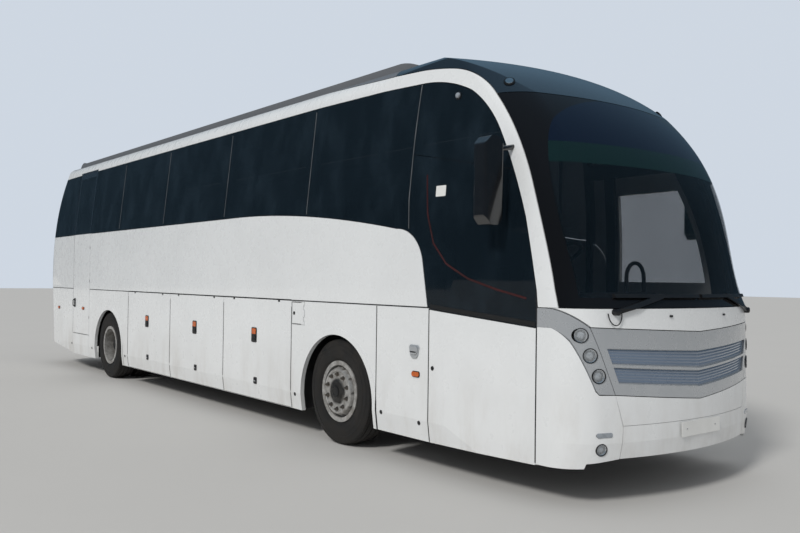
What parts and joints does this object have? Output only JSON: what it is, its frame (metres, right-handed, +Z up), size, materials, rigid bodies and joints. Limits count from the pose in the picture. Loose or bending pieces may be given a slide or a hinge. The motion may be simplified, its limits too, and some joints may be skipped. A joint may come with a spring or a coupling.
{
  "type": "coach bus",
  "caption": "High-floor touring coach with swept front pillars, steered front wheels, twin rear wheels, hold doors and seats inside.",
  "frame": {"origin": "on the ground, at mid length, on the centre line", "axes": "+Z up, the front faces -Y, the coach's left side is +X"},
  "size_m": [2.96, 12.64, 3.6183],
  "materials": {
    "white_paint": "gloss",
    "silver_paint": "satin",
    "grey_paint": "satin",
    "dark_gloss": "gloss",
    "dark_glass": "gloss",
    "frame": "satin",
    "iron": "rough",
    "engine": "rough",
    "rim": "satin",
    "tyre": "matte",
    "black_plastic": "satin",
    "trim": "matte",
    "seat_fabric": "matte",
    "lamp": "gloss",
    "tail_lamp": "gloss"
  },
  "bodies": {
    "coach_body": {"arch_mouldings": "white_paint", "cantrails": "white_paint", "chassis_rails": "frame", "cross_members": "frame", "dashboard": "trim", "engine": "engine", "entrance_door": "white_paint", "entrance_door_glass": "dark_glass", "entrance_steps": "trim", "front_axle": "frame", "front_dome": "dark_gloss", "front_frame": "frame", "front_lamps": "lamp", "front_mouldings": "white_paint", "grille": "silver_paint", "headlamp_panels": "silver_paint", "hold_floor": "frame", "mirrors": "black_plastic", "rear_axle": "iron", "rear_window": "dark_glass", "roof_bows": "frame", "roof_panel": "grey_paint", "roof_pod": "grey_paint", "saloon_floor": "trim", "screen_frame": "frame", "seats": "seat_fabric", "side_frames": "frame", "side_glass": "dark_glass", "skirt_frames": "frame", "skirt_panels": "white_paint", "steering_wheel": "black_plastic", "tail_bumper": "white_paint", "tail_frame": "frame", "tail_lamps": "tail_lamp", "tail_moulding": "white_paint", "waist_panels": "white_paint", "wheelhouses": "frame", "windscreen": "dark_glass", "wipers": "black_plastic"},
    "knuckle_left": {"knuckle_left": "iron"},
    "knuckle_right": {"knuckle_right": "iron"},
    "front_wheel_left": {"front_rim_left": "rim", "front_tyre_left": "tyre"},
    "front_wheel_right": {"front_rim_right": "rim", "front_tyre_right": "tyre"},
    "rear_wheels_left": {"rear_rims_left": "rim", "rear_tyres_left": "tyre"},
    "rear_wheels_right": {"rear_rims_right": "rim", "rear_tyres_right": "tyre"},
    "emergency_door": {"emergency_door": "white_paint", "emergency_door_glass": "dark_glass"},
    "engine_door": {"engine_door": "white_paint"},
    "fuel_flap": {"fuel_flap": "white_paint"},
    "locker_door_right_1": {"locker_door_right_1": "white_paint"},
    "locker_door_right_2": {"locker_door_right_2": "white_paint"},
    "locker_door_right_3": {"locker_door_right_3": "white_paint"},
    "locker_door_left_1": {"locker_door_left_1": "white_paint"},
    "locker_door_left_2": {"locker_door_left_2": "white_paint"},
    "locker_door_left_3": {"locker_door_left_3": "white_paint"}
  },
  "joints": [
    {"name": "steer_right", "type": "hinge", "parent": "coach_body", "child": "knuckle_right", "pos_m": [-0.88, -3.215, 0.512], "axis": [0, 0, 1], "range_deg": [-38, 38]},
    {"name": "front_wheel_right_spin", "type": "hinge", "parent": "knuckle_right", "child": "front_wheel_right", "pos_m": [-1.08, -3.215, 0.512], "axis": [1, 0, 0], "continuous": true},
    {"name": "rear_wheels_right_spin", "type": "hinge", "parent": "coach_body", "child": "rear_wheels_right", "pos_m": [-0.9, 3.11, 0.512], "axis": [1, 0, 0], "continuous": true},
    {"name": "steer_left", "type": "hinge", "parent": "coach_body", "child": "knuckle_left", "pos_m": [0.88, -3.215, 0.512], "axis": [0, 0, 1], "range_deg": [-38, 38]},
    {"name": "front_wheel_left_spin", "type": "hinge", "parent": "knuckle_left", "child": "front_wheel_left", "pos_m": [1.08, -3.215, 0.512], "axis": [1, 0, 0], "continuous": true},
    {"name": "rear_wheels_left_spin", "type": "hinge", "parent": "coach_body", "child": "rear_wheels_left", "pos_m": [0.9, 3.11, 0.512], "axis": [1, 0, 0], "continuous": true},
    {"name": "locker_door_right_1_hinge", "type": "hinge", "parent": "coach_body", "child": "locker_door_right_1", "pos_m": [-1.242, -1.63, 1.352], "axis": [0, 1, 0], "range_deg": [0, 90]},
    {"name": "locker_door_right_2_hinge", "type": "hinge", "parent": "coach_body", "child": "locker_door_right_2", "pos_m": [-1.242, -0.07, 1.352], "axis": [0, 1, 0], "range_deg": [0, 90]},
    {"name": "locker_door_right_3_hinge", "type": "hinge", "parent": "coach_body", "child": "locker_door_right_3", "pos_m": [-1.242, 1.485, 1.352], "axis": [0, 1, 0], "range_deg": [0, 90]},
    {"name": "locker_door_left_1_hinge", "type": "hinge", "parent": "coach_body", "child": "locker_door_left_1", "pos_m": [1.242, -1.63, 1.352], "axis": [0, -1, 0], "range_deg": [0, 90]},
    {"name": "locker_door_left_2_hinge", "type": "hinge", "parent": "coach_body", "child": "locker_door_left_2", "pos_m": [1.242, -0.07, 1.352], "axis": [0, -1, 0], "range_deg": [0, 90]},
    {"name": "locker_door_left_3_hinge", "type": "hinge", "parent": "coach_body", "child": "locker_door_left_3", "pos_m": [1.242, 1.485, 1.352], "axis": [0, -1, 0], "range_deg": [0, 90]},
    {"name": "emergency_door_hinge", "type": "hinge", "parent": "coach_body", "child": "emergency_door", "pos_m": [-1.242, 4.039, 1.5], "axis": [0, 0, 1], "range_deg": [0, 90]},
    {"name": "engine_door_hinge", "type": "hinge", "parent": "coach_body", "child": "engine_door", "pos_m": [0, 6.298, 1.632], "axis": [1, 0, 0], "range_deg": [0, 80]},
    {"name": "fuel_flap_hinge", "type": "hinge", "parent": "coach_body", "child": "fuel_flap", "pos_m": [-1.242, -2.641, 1.237], "axis": [0, 0, 1], "range_deg": [0, 90]}
  ],
  "couplings": [
    {"joint": "steer_left", "follows": "steer_right", "ratio": 1}
  ]
}
